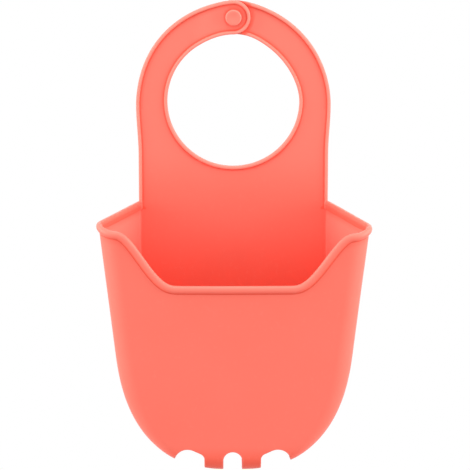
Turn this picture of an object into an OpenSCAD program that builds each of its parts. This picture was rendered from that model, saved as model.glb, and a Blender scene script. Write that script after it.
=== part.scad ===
// Hanging sink drainer pouch, a soft one-piece moulding in silicone rubber.
// It is drawn as the sections that bend or hold by themselves: the pouch's walls, its
// ribbed floor, the flexible neck, the loop that goes round a tap and the two arms
// that snap together over it.
// Millimetres. X is to the right, Y to the back, Z up. The origin is the centre of the
// loop's hole on the flat back face.

/* [Loop] */
// Radius of the round hole that goes round the tap
hole_r = 33.6; // [26:0.1:40]
// Width of the loop's band beside the hole
band_side_w = 16; // [13:0.1:20]
// Width of the loop's band over the hole, where the two arms lap
band_top_w = 17.8; // [15:0.1:20]
// How far below the hole's centre the loop is widest
loop_widest_drop = 2.2; // [0:0.1:5]
// How far below the hole's centre the strap's sides become straight
strap_drop = 27; // [20:0.5:34]
// Thickness of the strap, the loop and the back panel
web_t = 1.8; // [1.2:0.1:3]
// Width of the raised edge along the loop and the strap
edge_w = 1.8; // [1.2:0.1:2.6]
// How far the raised edge stands out in front of the strap
edge_h = 1.1; // [0.6:0.1:1.8]

/* [Bends] */
// Height of the flexible neck between the pouch and the loop
neck_h = 13; // [8:0.5:16]
// Flat left between the hole's raised edge and the neck
neck_top_gap = 1.8; // [1:0.1:3]
// Height of the flexible root of each arm
root_h = 14; // [10:0.5:18]
// How far the middle of the arms' roots lies above the hole's centre
root_rise = 3; // [0:0.5:6]

/* [Snap] */
// Thickness of the thin tab that lies behind and carries the knob
back_tab_t = 1.4; // [1:0.1:2]
// Gap between the two lapped tabs
lap_gap = 0.3; // [0.2:0.05:0.6]
// Length over which the front tab steps forward over the other
lap_slope_w = 11.5; // [8:0.5:16]
// Radius of the snap knob's head
knob_r = 4.1; // [3.4:0.1:5]
// Thickness of the snap knob's head
knob_t = 1.9; // [1.4:0.1:2.6]
// Radius of the rounded rim of the knob's head
knob_edge_r = 0.7; // [0.4:0.05:0.9]
// Radius of the knob's stem
stem_r = 2.4; // [1.8:0.1:3]
// Clearance round the stem in the buttonhole
stem_gap = 0.3; // [0.2:0.05:0.5]
// Depth of the dimple in the knob's head
dimple_h = 0.35; // [0.2:0.05:0.6]

/* [Pouch] */
// Strap left between the neck and the pouch's rim
rim_gap = 1.5; // [1:0.1:12]
// Height of the pouch from its rim to the underside of its floor
pouch_h = 127.2; // [110:0.2:160]
// Width of the strap and the back panel at the rim
back_w = 96.2; // [85:0.2:98]
// Width of the pouch over its front corners at the rim
front_w = 133; // [115:0.2:150]
// Width of the pouch's front where its bottom curve begins
front_low_w = 118.8; // [105:0.2:130]
// Depth of the pouch at its rim, from the back face to the middle of the front wall
front_d = 67.2; // [55:0.2:85]
// Depth of the pouch at its floor, before the edge is rounded
low_d = 63; // [50:0.2:80]
// How far the middle of the front wall bulges past its corners
front_bulge = 1.8; // [0.5:0.1:4]
// Radius of the pouch's two upright front corners
corner_r = 10; // [6:0.5:14]
// Radius between the front wall and the floor
foot_r = 8; // [6:0.5:12]
// Height of the curved lower part of the pouch
curve_h = 61.8; // [50:0.2:70]
// Thickness of the pouch's walls and floor
wall_t = 1.6; // [1.2:0.1:2.4]

/* [Rim] */
// Height of the bead along the pouch's rim
bead_h = 3.8; // [3:0.1:5]
// How far the bead stands out past the wall
bead_out = 1.7; // [1:0.1:2.4]
// Depth of the scoop in the front wall
scoop_h = 29.6; // [15:0.2:32]
// Width of the flat bottom of the scoop
scoop_flat_w = 57; // [44:1:66]
// Fall of the rim round each front corner, before the scoop
corner_fall = 2.5; // [0:0.25:5]

/* [Drain] */
// Width of the middle drain slot
mid_slot_w = 8.8; // [6:0.2:11]
// Width of each outer drain slot
outer_slot_w = 14.6; // [10:0.2:16]
// Width of the rib between the middle slot and an outer one
rib_w = 10.2; // [8:0.2:14]
// Height of the outer slots' tops above the underside, at their outer side
outer_slot_h = 12.2; // [11:0.1:15]
// How much lower the outer slots' tops are at their inner side
outer_slot_fall = 1.6; // [1:0.1:4]
// Radius of the outer slots' inner top corners
slot_in_r = 3; // [2:0.1:4]
// Radius of the outer slots' outer top corners
slot_out_r = 5.5; // [4:0.1:6.5]
// Height of the middle slot's round top above the underside
mid_slot_h = 10.6; // [7:0.1:14]
// Floor left whole between the slots and the back panel
slot_back = 10; // [6:0.5:20]

/* [Hidden] */
$fn = 96;
coral = [0.98, 0.43, 0.36];
// Overrun of every cut past the solid that it cuts
over = web_t;

// The strap and the loop: half widths, and the two offset arcs of the loop's outline
strap_hw = back_w / 2;
loop_hw = hole_r + band_side_w;
arc_top = hole_r + band_top_w + loop_widest_drop;
arc_r = (loop_hw * loop_hw + arc_top * arc_top) / (2 * loop_hw);
arc_x = arc_r - loop_hw;
neck_top = -(hole_r + edge_w + neck_top_gap);
neck_low = neck_top - neck_h;
rim_z = neck_low - rim_gap;
root_low = root_rise - root_h / 2;
root_top = root_rise + root_h / 2;
reach = max(loop_hw, strap_hw) + over;
// Shares of the raised edge's height that its full width takes, and of its width rounded off
edge_foot_share = 0.55;
edge_round_share = 0.25;

// The snap: the tabs end in half circles round the knob
tab_r = band_top_w / 2;
snap_z = hole_r + tab_r;
lap = back_tab_t + lap_gap;
tab_gap = lap_gap;
back_tab_r = tab_r + tab_gap;
lap_end_x = back_tab_r + stem_gap * 4;
lap_start_x = lap_end_x + lap_slope_w;
tab_start_x = lap_start_x + edge_w;
knob_seat = lap + web_t + lap_gap;
dimple_r = knob_r - knob_edge_r * 1.5;
dimple_ball_r = (dimple_r * dimple_r + dimple_h * dimple_h) / (2 * dimple_h);

// The pouch's skin: columns run round it from the back left edge to the back right one,
// and rows run down it from the rim to the flat middle of its floor
SIDE_N = 4;
CORNER_N = 8;
SLOPE_N = 13;
HALF_FRONT_N = 19;
// Share of the half width of the front that the columns under the scoop's slope take
slope_share = 0.49;
// Share of a front corner's radius, from the side inwards, at which the scoop starts
scoop_start_share = 0.78;
// Power that makes the scoop's slope steeper at its top than at its bottom
scoop_bias = 0.77;
HALF_N = SIDE_N + CORNER_N + HALF_FRONT_N;
LAST_COL = 2 * HALF_N;
RIM_N = 4;
UPPER_N = 3;
CURVE_N = 14;
FLOOR_FROM_N = 6;
LAST_ROW = RIM_N + UPPER_N + CURVE_N;
FLOOR_ROW = RIM_N + UPPER_N + FLOOR_FROM_N;
wall_top = rim_z - bead_h;
foot_z = rim_z - pouch_h;
curve_z = foot_z + curve_h;
scoop_top = front_w / 2 - corner_r * scoop_start_share;
level_z = wall_top - scoop_h - (wall_top - scoop_h - curve_z) * 0.25;
// The bottom curve is a superellipse, which stops short of the middle and leaves it flat
curve_power = 2.65;
curve_end_deg = 83;
corner_least_share = 0.5;
curve_full_h = curve_h / pow(sin(curve_end_deg), 2 / curve_power);

// Each row is its height and the share of the full width that is left there
function row_of(j) =
    j <= RIM_N ? [level_z, 1] :
    j <= RIM_N + UPPER_N ? [level_z + (curve_z - level_z) * (j - RIM_N) / UPPER_N, 1] :
    let (a = curve_end_deg * (j - RIM_N - UPPER_N) / CURVE_N)
    [curve_z - curve_full_h * pow(sin(a), 2 / curve_power), pow(cos(a), 2 / curve_power)];

// Half width at the front corners, and depth of the front corners' flat line
function front_hw(z, f) =
    (front_w - (front_w - front_low_w) * (wall_top - z) / (wall_top - curve_z)) / 2 * f;
function flat_d(z) =
    let (full = front_d - front_bulge - (front_d - low_d) * (wall_top - z) / (wall_top - foot_z),
         s = min(1, max(0, (foot_z + foot_r - z) / foot_r)))
    full - foot_r * (1 - sqrt(1 - s * s));

// Share of the front's half width at a column: closer together under the scoop's slope
function front_share(k) =
    k <= SLOPE_N ? 1 - slope_share * k / SLOPE_N :
    (1 - slope_share) * (HALF_FRONT_N - k) / (HALF_FRONT_N - SLOPE_N);

// A point of the left half of the pouch's outside at a height: along the side, round
// the corner, then along the bulged front
function left_point(i, z, f) =
    let (r = min(corner_r, front_hw(z, f) * corner_least_share),
         hb = strap_hw * f,
         cx = front_hw(z, f) - r,
         run = flat_d(z) - r - web_t,
         side = cx - hb,
         lean = atan2(side, run) + asin(r / norm([side, run])))
    i <= SIDE_N ?
        let (s = i / SIDE_N)
        [-(hb + (cx + r * cos(lean) - hb) * s), -(web_t + (run - r * sin(lean)) * s), z] :
    i <= SIDE_N + CORNER_N ?
        let (a = lean - (90 + lean) * (i - SIDE_N) / CORNER_N)
        [-(cx + r * cos(a)), -(web_t + run) + r * sin(a), z] :
        let (s = front_share(i - SIDE_N - CORNER_N))
        [-cx * s, -(flat_d(z) + front_bulge * f * (1 - s * s)), z];

function mirror_x(p) = [-p[0], p[1], p[2]];
function outside(i, z, f) =
    i <= HALF_N ? left_point(i, z, f) : mirror_x(left_point(LAST_COL - i, z, f));

// Drop of the rim at a column: a smooth step round the corner, and another one from there
// to the scoop's flat bottom
function eased(t) = let (u = min(1, max(0, t))) u * u * u * (u * (6 * u - 15) + 10);
function scoop(i) =
    let (k = i <= HALF_N ? i : LAST_COL - i,
         x = abs(left_point(k, wall_top, 1)[0]),
         t = pow(max(0, (scoop_top - x) / (scoop_top - scoop_flat_w / 2)), scoop_bias))
    k <= SIDE_N ? 0 : corner_fall * eased((k - SIDE_N) / CORNER_N)
                      + (scoop_h - corner_fall) * eased(t);

// The outer grid, row by row. Above the level row, rows spread between it and the rim
OUTER = [for (j = [0:LAST_ROW]) let (row = row_of(j)) [for (i = [0:LAST_COL])
    j < RIM_N ?
        let (top = wall_top - scoop(i))
        outside(i, top + (level_z - top) * j / RIM_N, 1) :
        outside(i, row[0], row[1])]];

// The inner grid lies a wall's thickness inside, along the surface's own normal.
// At the back panel it is slid along the wall to the panel's front face.
function unit(v) = v / norm(v);
function along(i, j) = OUTER[j][min(i + 1, LAST_COL)] - OUTER[j][max(i - 1, 0)];
function down(i, j) = OUTER[min(j + 1, LAST_ROW)][i] - OUTER[max(j - 1, 0)][i];
function inward(i, j) = j == LAST_ROW ? [0, 0, 1] : unit(cross(along(i, j), down(i, j)));
function to_panel(p, run) = p + run * ((-web_t - p[1]) / run[1]);
INNER = [for (j = [0:LAST_ROW]) [for (i = [0:LAST_COL])
    let (p = OUTER[j][i] + wall_t * inward(i, j))
    i == 0 || i == LAST_COL ? (j == LAST_ROW ? p : to_panel(p, along(i, j))) : p]];

// Two triangles of a strip between the points at k and k + 1 of two lines
function strip(a, b, flip) = flip ? [[a, b + 1, b], [a, a + 1, b + 1]]
                                  : [[a, b, b + 1], [a, b + 1, a + 1]];
function flat(lists) = [for (part = lists) for (item = part) item];

// The plane that a strap lies in: x and z in the outline, and thickness towards the front
module slab(from, to) {
    translate([0, -from, 0])
        rotate([90, 0, 0])
            linear_extrude(to - from) children();
}

module band_window(low, top) {
    translate([-reach, low])
        square([2 * reach, top - low]);
}

module half_window(side, low, top) {
    translate([side < 0 ? -reach : 0, low])
        square([reach, top - low]);
}

// The strap's outline, drawn in by a margin along its free edges
module strap_face(margin) {
    difference() {
        union() {
            intersection() {
                translate([arc_x, -loop_widest_drop])
                    circle(arc_r - margin, $fn = 240);
                translate([-arc_x, -loop_widest_drop])
                    circle(arc_r - margin, $fn = 240);
                translate([-reach, -loop_widest_drop])
                    square([2 * reach, arc_top + over]);
            }
            polygon([[-(loop_hw - margin), -loop_widest_drop],
                     [-(strap_hw - margin), -strap_drop],
                     [-(strap_hw - margin), rim_z],
                     [strap_hw - margin, rim_z],
                     [strap_hw - margin, -strap_drop],
                     [loop_hw - margin, -loop_widest_drop]]);
        }
        circle(hole_r + margin, $fn = 240);
    }
}

module strap_edges(margin) {
    difference() {
        strap_face(margin);
        strap_face(edge_w - margin);
    }
}

// A length of the strap: its web, and its raised edge with the corners taken off.
// The child is the window of the outline that the section fills.
module strap_section() {
    foot = web_t + edge_h * edge_foot_share;
    slab(0, web_t)
        intersection() {
            strap_face(0);
            children();
        }
    slab(web_t, foot)
        intersection() {
            strap_edges(0);
            children();
        }
    slab(foot, web_t + edge_h)
        intersection() {
            strap_edges(edge_w * edge_round_share);
            children();
        }
}

// A patch of the pouch's skin between two columns and two rows
module skin(col_a, col_b, row_a, row_b) {
    n = col_b - col_a + 1;
    rows = row_b - row_a + 1;
    inner = n * rows;
    points = concat([for (j = [row_a:row_b]) for (i = [col_a:col_b]) OUTER[j][i]],
                    [for (j = [row_a:row_b]) for (i = [col_a:col_b]) INNER[j][i]]);
    faces = concat(
        flat([for (j = [0:rows - 2]) for (i = [0:n - 2]) strip(j * n + i, (j + 1) * n + i, true)]),
        flat([for (j = [0:rows - 2]) for (i = [0:n - 2])
            strip(inner + j * n + i, inner + (j + 1) * n + i, false)]),
        flat([for (i = [0:n - 2]) strip(i, inner + i, false)]),
        flat([for (i = [0:n - 2]) strip((rows - 1) * n + i, inner + (rows - 1) * n + i, true)]),
        [for (j = [0:rows - 2]) for (t = side_strip(j * n, n, inner, false)) t],
        [for (j = [0:rows - 2]) for (t = side_strip(j * n + n - 1, n, inner, true)) t]);
    polyhedron(points, faces);
}

// The wall's edge along one column, between a row and the next
function side_strip(a, n, inner, flip) =
    flip ? [[a, inner + a, inner + a + n], [a, inner + a + n, a + n]]
         : [[a, inner + a + n, inner + a], [a, a + n, inner + a + n]];

module back_panel() {
    sides = [for (j = [RIM_N:LAST_ROW]) OUTER[j][0]];
    color(coral) {
        strap_section() band_window(rim_z, neck_low);
        slab(0, web_t)
            polygon(concat([[-strap_hw, rim_z]],
                           [for (p = sides) [p[0], p[2]]],
                           [for (k = [len(sides) - 1:-1:0]) [-sides[k][0], sides[k][2]]],
                           [[strap_hw, rim_z]]));
    }
}

module left_side_wall() {
    color(coral) skin(0, SIDE_N + CORNER_N, 0, FLOOR_ROW);
}

module right_side_wall() {
    color(coral) skin(LAST_COL - SIDE_N - CORNER_N, LAST_COL, 0, FLOOR_ROW);
}

module front_wall() {
    color(coral) skin(SIDE_N + CORNER_N, LAST_COL - SIDE_N - CORNER_N, 0, FLOOR_ROW);
}

// The floor and the lowest part of the walls, closed across the flat middle
module floor_dish() {
    n = LAST_COL + 1;
    rows = LAST_ROW - FLOOR_ROW + 1;
    inner = n * rows;
    last = (rows - 1) * n;
    points = concat([for (j = [FLOOR_ROW:LAST_ROW]) for (i = [0:LAST_COL]) OUTER[j][i]],
                    [for (j = [FLOOR_ROW:LAST_ROW]) for (i = [0:LAST_COL]) INNER[j][i]]);
    faces = concat(
        flat([for (j = [0:rows - 2]) for (i = [0:n - 2]) strip(j * n + i, (j + 1) * n + i, true)]),
        flat([for (j = [0:rows - 2]) for (i = [0:n - 2])
            strip(inner + j * n + i, inner + (j + 1) * n + i, false)]),
        flat([for (i = [0:n - 2]) strip(i, inner + i, false)]),
        [for (j = [0:rows - 2]) for (t = side_strip(j * n, n, inner, false)) t],
        [for (j = [0:rows - 2]) for (t = side_strip(j * n + n - 1, n, inner, true)) t],
        flat([for (i = [0:HALF_N - 1]) rung(last + i, last + LAST_COL - i, i, false)]),
        flat([for (i = [0:HALF_N - 1]) rung(inner + last + i, inner + last + LAST_COL - i, i, true)]),
        [[last, last + LAST_COL, inner + last + LAST_COL],
         [last, inner + last + LAST_COL, inner + last]]);
    polyhedron(points, faces);
}

// One rung of the ladder of triangles across the flat middle of the floor
function rung(a, b, i, flip) =
    let (one = flip ? [[a, b, a + 1]] : [[a, a + 1, b]],
         two = flip ? [[a + 1, b, b - 1]] : [[a + 1, b - 1, b]])
    i == HALF_N - 1 ? one : concat(one, two);

// The middle drain slot: a channel with a round top through the floor and the front wall
module mid_slot() {
    translate([0, 0, foot_z])
        slab(slot_back, front_d + over) {
            translate([0, mid_slot_h - mid_slot_w / 2])
                circle(mid_slot_w / 2);
            translate([-mid_slot_w / 2, -over])
                square([mid_slot_w, mid_slot_h - mid_slot_w / 2 + over]);
        }
}

// An outer slot, whose top slopes like the floor under it and has two round corners.
// Over the floor itself its sides stay upright.
module outer_slot() {
    from = mid_slot_w / 2 + rib_w;
    to = from + outer_slot_w;
    inner = [from + slot_in_r, outer_slot_h - outer_slot_fall - slot_in_r];
    outer = [to - slot_out_r, outer_slot_h - slot_out_r];
    gap = outer - inner;
    turn = atan2(gap[1], gap[0]) + acos((slot_in_r - slot_out_r) / norm(gap));
    lift = [cos(turn), sin(turn)];
    translate([0, 0, foot_z]) {
        slab(slot_back, front_d + over) {
            translate(inner)
                circle(slot_in_r);
            translate(outer)
                circle(slot_out_r);
            polygon([[from, -over], [from, inner[1]], inner + slot_in_r * lift,
                     outer + slot_out_r * lift, [to, outer[1]], [to, -over]]);
        }
        translate([from, -(low_d - foot_r), -over])
            cube([outer_slot_w, low_d - foot_r - slot_back, outer_slot_h + over - wall_t]);
    }
}

module drain_floor() {
    color(coral)
        difference() {
            floor_dish();
            mid_slot();
            outer_slot();
            mirror([1, 0, 0]) outer_slot();
        }
}

// The bead's section stands on the wall's top edge: a flat foot, and an ellipse over it
bead_rx = (wall_t + bead_out) / 2;
bead_ry = bead_h / 2;
BEAD = concat([[-wall_t, 0]],
              [for (a = [180:-30:-60]) [bead_rx * cos(a) + bead_rx - wall_t, bead_ry * (1 + sin(a))]],
              [[0, 0]]);
BEAD_N = len(BEAD);
function bead_up(i) =
    i == 0 || i == LAST_COL ? [0, 0, 1] :
    unit(cross(along(i, 0), inward(i, 0)));

module rim_bead() {
    points = [for (i = [0:LAST_COL]) for (s = BEAD)
        OUTER[0][i] + (OUTER[0][i] - INNER[0][i]) / wall_t * s[0] + bead_up(i) * s[1]];
    n = BEAD_N;
    faces = concat(
        flat([for (i = [0:LAST_COL - 1]) for (k = [0:n - 2])
            [[i * n + k, (i + 1) * n + k, (i + 1) * n + k + 1],
             [i * n + k, (i + 1) * n + k + 1, i * n + k + 1]]]),
        flat([for (i = [0:LAST_COL - 1])
            [[i * n + n - 1, (i + 1) * n + n - 1, (i + 1) * n],
             [i * n + n - 1, (i + 1) * n, i * n]]]),
        [[for (k = [0:n - 1]) k], [for (k = [n - 1:-1:0]) LAST_COL * n + k]]);
    color(coral) polyhedron(points, faces);
}

module neck_strip() {
    color(coral) strap_section() band_window(neck_low, neck_top);
}

module loop_base() {
    color(coral) strap_section() band_window(neck_top, root_low);
}

module left_arm_root() {
    color(coral) strap_section() half_window(-1, root_low, root_top);
}

module right_arm_root() {
    color(coral) strap_section() half_window(1, root_low, root_top);
}

module left_arm() {
    color(coral)
        strap_section()
            translate([-reach, root_top])
                square([reach - tab_start_x, reach]);
}

// The front tab's outline: the end of the left band, rounded off round the knob
module front_tab_face(margin) {
    difference() {
        union() {
            intersection() {
                strap_face(margin);
                translate([-tab_start_x, 0])
                    square([tab_start_x, reach]);
            }
            translate([0, snap_z])
                circle(tab_r - margin);
        }
        circle(hole_r + margin, $fn = 240);
    }
}

// The course of the front tab seen from above: it steps forward over the back tab
module lap_course(from, to) {
    linear_extrude(reach)
        polygon([[-tab_start_x, -from], [-lap_start_x, -from],
                 [-lap_end_x, -lap - from], [back_tab_r, -lap - from],
                 [back_tab_r, -lap - to], [-lap_end_x, -lap - to],
                 [-lap_start_x, -to], [-tab_start_x, -to]]);
}

module left_tab() {
    sunk = web_t / 2;
    foot = web_t + edge_h * edge_foot_share;
    deep = lap + web_t + edge_h + over;
    color(coral)
        difference() {
            union() {
                intersection() {
                    slab(0, deep) front_tab_face(0);
                    lap_course(0, web_t);
                }
                intersection() {
                    slab(0, deep)
                        difference() {
                            front_tab_face(0);
                            front_tab_face(edge_w);
                            translate([-tab_start_x - over, 0])
                                square([over, reach]);
                        }
                    lap_course(sunk, foot);
                }
                intersection() {
                    slab(0, deep)
                        difference() {
                            front_tab_face(edge_w * edge_round_share);
                            front_tab_face(edge_w - edge_w * edge_round_share);
                        }
                    lap_course(sunk, web_t + edge_h);
                }
            }
            translate([0, 0, snap_z])
                rotate([90, 0, 0])
                    cylinder(deep, r = stem_r + stem_gap);
        }
}

module right_arm() {
    color(coral)
        strap_section()
            difference() {
                half_window(1, root_top, reach);
                translate([0, snap_z])
                    circle(back_tab_r);
            }
}

// The thin tab behind, a disc clipped to the band
module right_tab() {
    color(coral)
        slab(0, back_tab_t)
            intersection() {
                strap_face(0);
                translate([0, snap_z])
                    circle(back_tab_r);
            }
}

// The mushroom knob: a stem through the buttonhole and a dimpled round head
module snap_knob() {
    stem_l = knob_seat - back_tab_t;
    color(coral)
        translate([0, -back_tab_t, snap_z])
            rotate([90, 0, 0])
                difference() {
                    union() {
                        cylinder(stem_l + knob_t / 2, r = stem_r);
                        translate([0, 0, stem_l])
                            rotate_extrude() {
                                square([knob_r - knob_edge_r, knob_t]);
                                translate([0, knob_edge_r])
                                    square([knob_r, knob_t - 2 * knob_edge_r]);
                                translate([knob_r - knob_edge_r, knob_edge_r])
                                    circle(knob_edge_r, $fn = 32);
                                translate([knob_r - knob_edge_r, knob_t - knob_edge_r])
                                    circle(knob_edge_r, $fn = 32);
                            }
                    }
                    translate([0, 0, stem_l + knob_t + dimple_ball_r - dimple_h])
                        sphere(dimple_ball_r);
                }
}

back_panel();
left_side_wall();
right_side_wall();
front_wall();
drain_floor();
rim_bead();
neck_strip();
loop_base();
left_arm_root();
left_arm();
left_tab();
right_arm_root();
right_arm();
right_tab();
snap_knob();
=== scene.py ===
"""Looks of a hanging sink drainer pouch, moulded in one piece from coral silicone rubber.

The sections follow the pouch as it hangs: the flat back sheet with its strap, the
raised edges on it, the tub in front of it with its rim and drain slots, the two arms
that close round a tap, and the knob that snaps them together. Sizes are millimetres
in the frame of the CAD model, whose origin is the middle of the tap hole on the back.
"""

import bmesh
import bpy
import numpy as np
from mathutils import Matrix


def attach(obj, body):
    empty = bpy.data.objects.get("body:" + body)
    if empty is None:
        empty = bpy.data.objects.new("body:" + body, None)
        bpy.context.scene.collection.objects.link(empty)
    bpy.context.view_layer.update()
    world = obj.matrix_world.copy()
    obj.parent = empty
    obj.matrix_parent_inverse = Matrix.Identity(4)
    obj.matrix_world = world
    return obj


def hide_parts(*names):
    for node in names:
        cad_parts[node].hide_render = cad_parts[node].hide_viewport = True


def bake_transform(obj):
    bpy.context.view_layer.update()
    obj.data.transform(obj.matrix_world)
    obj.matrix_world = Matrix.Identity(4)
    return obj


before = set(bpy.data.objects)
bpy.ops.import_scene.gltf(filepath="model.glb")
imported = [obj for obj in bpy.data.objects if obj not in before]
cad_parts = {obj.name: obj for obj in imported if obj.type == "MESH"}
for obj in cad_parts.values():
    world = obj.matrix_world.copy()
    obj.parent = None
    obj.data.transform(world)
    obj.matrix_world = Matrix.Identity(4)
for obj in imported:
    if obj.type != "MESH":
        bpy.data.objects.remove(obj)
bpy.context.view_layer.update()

# Back sheet. The flat web from the arms' roots past the hole and down the neck to the
# back wall of the tub, 1.8 mm thick, its edges buried in the raised edges and the tub's
# back corner. Below curve_z it narrows like a superellipse of exponent bowl_power.
MM = 0.001
same_place, sliver, sharp_deg = 2e-6, 1e-6, 38
web_t = 1.8
hole_r, side_band, top_band = 33.6, 16.0, 17.8
widest_z, straight_z, cut_z = -2.2, -27.0, -4.0
strap_hw, loop_hw = 48.5, hole_r + side_band
neck_top, neck_low = -37.2, -50.2
rim_z, wall_top, curve_z, foot_z = -51.7, -55.5, -117.1, -178.9
arc_h = hole_r + top_band - widest_z
arc_r = (loop_hw ** 2 + arc_h ** 2) / (2 * loop_hw)
bowl_power, foot_deg = 2.65, 83
bowl_p = 2 / bowl_power
bowl_h = (curve_z - foot_z) / np.sin(np.radians(foot_deg)) ** bowl_p
edge_sink, corner_sink = 0.42, 1.5


def step(t):
    """Smooth step 3t^2 - 2t^3 between 0 and 1."""
    t = np.clip(t, 0, 1)
    return t * t * (3 - 2 * t)


def half_width(z):
    """Half width of the strap at a height: above the widest place the arc of radius
    arc_r whose centre lies past the middle, below it a smooth step to the neck's."""
    z = np.asarray(z, float)
    low = strap_hw + (loop_hw - strap_hw) * step((z - straight_z) / (widest_z - straight_z))
    high = np.sqrt(np.maximum(arc_r ** 2 - (z - widest_z) ** 2, 0)) - (arc_r - loop_hw)
    return np.where(z > widest_z, high, low)


def heading(line):
    """Unit tangents of a line of points, from the difference of each point's two neighbours."""
    t = np.gradient(line, axis=0)
    return t / np.linalg.norm(t, axis=-1, keepdims=True)


hole_low = hole_r + edge_sink
down_hole = -hole_low * np.sin(np.linspace(np.arcsin(-cut_z / hole_low), np.pi / 2, 44))
down_wall = np.concatenate([
    down_hole, np.arange(-34.4, -38.2, -0.4), np.arange(-38.6, -49.6, -0.8), [neck_low],
    np.arange(-50.8, -54.6, -0.5), np.arange(-54.8, -56.9, -0.15), np.linspace(-57.6, curve_z, 34)])
bowl_a = np.radians(np.linspace(0, 90, 60)[1:])
left_edge = np.concatenate([
    np.stack([-half_width(down_wall), down_wall], 1),
    np.stack([-strap_hw * np.cos(bowl_a) ** bowl_p, curve_z - bowl_h * np.sin(bowl_a) ** bowl_p], 1)])
left_edge[-1, 0] = 0
tangent = heading(left_edge)
tangent[-1] = 1, 0
edge_in = np.stack([-tangent[:, 1], tangent[:, 0]], 1)


def lattice(rows, cols, start=0, closed=False):
    """Quads of a grid of points numbered row by row from start; closed joins its last
    column to its first."""
    r = np.arange(rows - 1)[:, None]
    c = np.arange(cols if closed else cols - 1)[None]
    a, b = r * cols + c, r * cols + (c + 1) % cols
    return (np.stack([a, b, b + cols, a + cols], -1).reshape(-1, 4) + start).tolist()


def moulding(name, points, faces, tone=None):
    """A closed mesh object from points in millimetres: equal points are joined, its
    faces are turned outwards, and it is smooth but for edges sharper than sharp_deg.
    Its tone attribute is painted light and shade in the colour: 1 where the painted highlight is palest and
    -1 where the painted shade is deepest."""
    mesh = bpy.data.meshes.new(name)
    mesh.from_pydata((np.asarray(points, float) * MM).tolist(), [], faces)
    tone = np.zeros(len(points)) if tone is None else np.ravel(tone)
    mesh.attributes.new("tone", "FLOAT", "POINT").data.foreach_set("value", tone.astype(np.float32))
    work = bmesh.new()
    work.from_mesh(mesh)
    bmesh.ops.remove_doubles(work, verts=work.verts, dist=same_place)
    bmesh.ops.dissolve_degenerate(work, edges=work.edges, dist=sliver)
    bmesh.ops.recalc_face_normals(work, faces=work.faces)
    if work.calc_volume(signed=True) < 0:
        bmesh.ops.reverse_faces(work, faces=work.faces)
    work.to_mesh(mesh)
    work.free()
    mesh.shade_smooth()
    mesh.set_sharp_from_angle(angle=np.radians(sharp_deg))
    piece = bpy.data.objects.new(name, mesh)
    bpy.context.scene.collection.objects.link(piece)
    return piece


class Ink:
    """A socket of a material's tree. + - and * on it add Math nodes, and add() any other
    node from its type, its settings and the values or links of its sockets. A socket is
    given by its name, or by _ and its number where names repeat."""

    def __init__(self, tree, socket):
        self.tree, self.socket = tree, socket

    def add(self, kind, settings=(), out=0, **sockets):
        made = self.tree.nodes.new(kind)
        for key, value in dict(settings).items():
            setattr(made, key, value)
        for key, value in sockets.items():
            target = made.inputs[int(key[1:]) if key[1:].isdigit() else key.replace("_", " ")]
            if isinstance(value, Ink):
                self.tree.links.new(value.socket, target)
            else:
                target.default_value = value
        return Ink(self.tree, made.outputs[out])

    def maths(self, operation, a, b):
        return self.add("ShaderNodeMath", {"operation": operation}, _0=a, _1=b)

    def mix(self, before, after):
        """A colour mixed from before to after by this share."""
        return self.add("ShaderNodeMix", {"data_type": "RGBA"}, out=2, _0=self, _6=before, _7=after)

    def over(self, level):
        """How much the value is over a level, and 0 below it."""
        return self.maths("MAXIMUM", self - level, 0.0)

    def __add__(self, other):
        return self.maths("ADD", self, other)

    def __radd__(self, other):
        return self.maths("ADD", other, self)

    def __sub__(self, other):
        return self.maths("SUBTRACT", self, other)

    def __rsub__(self, other):
        return self.maths("SUBTRACT", other, self)

    def __mul__(self, other):
        return self.maths("MULTIPLY", self, other)

    def __rmul__(self, other):
        return self.maths("MULTIPLY", other, self)


coral, deep_coral, dusted_coral = (1.0, 0.180, 0.128, 1), (1.0, 0.162, 0.110, 1), (1.0, 0.222, 0.164, 1)
# The pale crest colour is a painted highlight; the crease colour and the line colour are painted shade.
painted_highlight_coral, painted_shade_coral = (1.0, 0.290, 0.222, 1), (0.98, 0.095, 0.046, 1)
painted_line_coral = (0.84, 0.08, 0.045, 1)
line_from, line_rise = 0.8, 5.0
cloud_from, cloud_rise, dust_share = 0.56, 5.0, 0.30


def silicone(name):
    """Matt silicone: coral that drifts a little over the part, with a bloom of dust in
    small clouds and the fine grain of a blasted mould. By the tone attribute it carries a
    painted highlight on crests and painted shade in creases, darkest in the lines where tone is below -0.8."""
    material = bpy.data.materials.new(name)
    material.use_nodes = True
    tree = material.node_tree
    surface = tree.nodes["Principled BSDF"]
    here = Ink(tree, tree.nodes.new("ShaderNodeTexCoord").outputs["Object"])
    drift = here.add("ShaderNodeTexNoise", Vector=here, Scale=26.0, Detail=2.0)
    bloom = here.add("ShaderNodeTexNoise", Vector=here, Scale=420.0, Detail=5.0, Roughness=0.65)
    fine = here.add("ShaderNodeTexNoise", Vector=here, Scale=5200.0, Detail=2.0)
    dust = bloom.over(cloud_from) * cloud_rise * dust_share
    tone = here.add("ShaderNodeAttribute", {"attribute_name": "tone"}, out="Fac")
    crest, crease = tone.over(0.0), (-1.0 * tone).over(0.0)
    tint = drift.mix(deep_coral, coral)
    tint = crest.mix(tint, painted_highlight_coral)
    tint = crease.mix(tint, painted_shade_coral)
    tint = (crease.over(line_from) * line_rise).mix(tint, painted_line_coral)
    tint = dust.mix(tint, dusted_coral)
    tree.links.new(tint.socket, surface.inputs["Base Color"])
    rough = 0.50 + drift * 0.06 + dust * 0.25 - crest * 0.04
    tree.links.new(rough.socket, surface.inputs["Roughness"])
    height = fine * 0.7 + bloom * 0.5
    bump = here.add("ShaderNodeBump", Strength=0.22, Distance=0.00006, Height=height)
    tree.links.new(bump.socket, surface.inputs["Normal"])
    surface.inputs["IOR"].default_value = 1.41
    surface.inputs["Sheen Weight"].default_value = 0.16
    surface.inputs["Sheen Roughness"].default_value = 0.4
    return material


matt_silicone = silicone("matt_silicone")


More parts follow.
